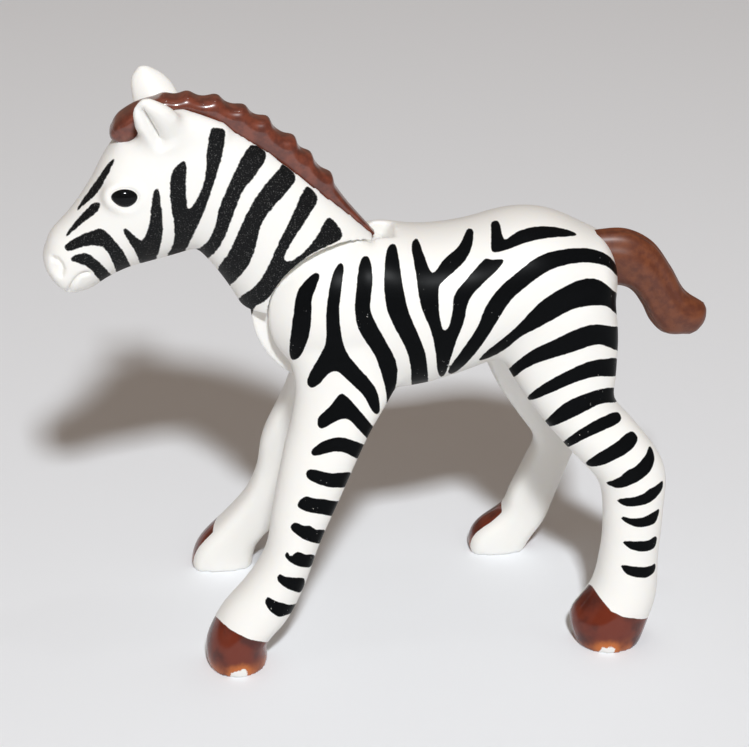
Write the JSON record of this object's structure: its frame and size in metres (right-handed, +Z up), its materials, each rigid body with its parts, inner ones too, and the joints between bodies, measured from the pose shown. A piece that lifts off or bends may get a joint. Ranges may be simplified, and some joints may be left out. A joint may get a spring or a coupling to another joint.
{
  "type": "toy zebra foal",
  "caption": "Small moulded plastic toy zebra foal that stands on four splayed legs, with a neck that tilts down between the shoulders.",
  "frame": {"origin": "centre of the bounding box in plan, on the floor under the hooves", "axes": "the foal faces -X, its left side is -Y, and +Z is up"},
  "size_m": [0.074, 0.0288, 0.0666],
  "materials": {
    "white_plastic": "smooth satin to gloss moulded plastic, printed with black stripes",
    "brown_plastic": "satin reddish brown moulded plastic"
  },
  "bodies": {
    "body": {"body": "white_plastic", "tail": "brown_plastic"},
    "neck": {"head_and_neck": "white_plastic", "mane": "brown_plastic"}
  },
  "joints": [
    {"name": "neck_tilt", "type": "hinge", "parent": "body", "child": "neck", "pos_m": [-0.00465, 0, 0.0401], "axis": [0, -1, 0], "range_deg": [0, 48]}
  ]
}
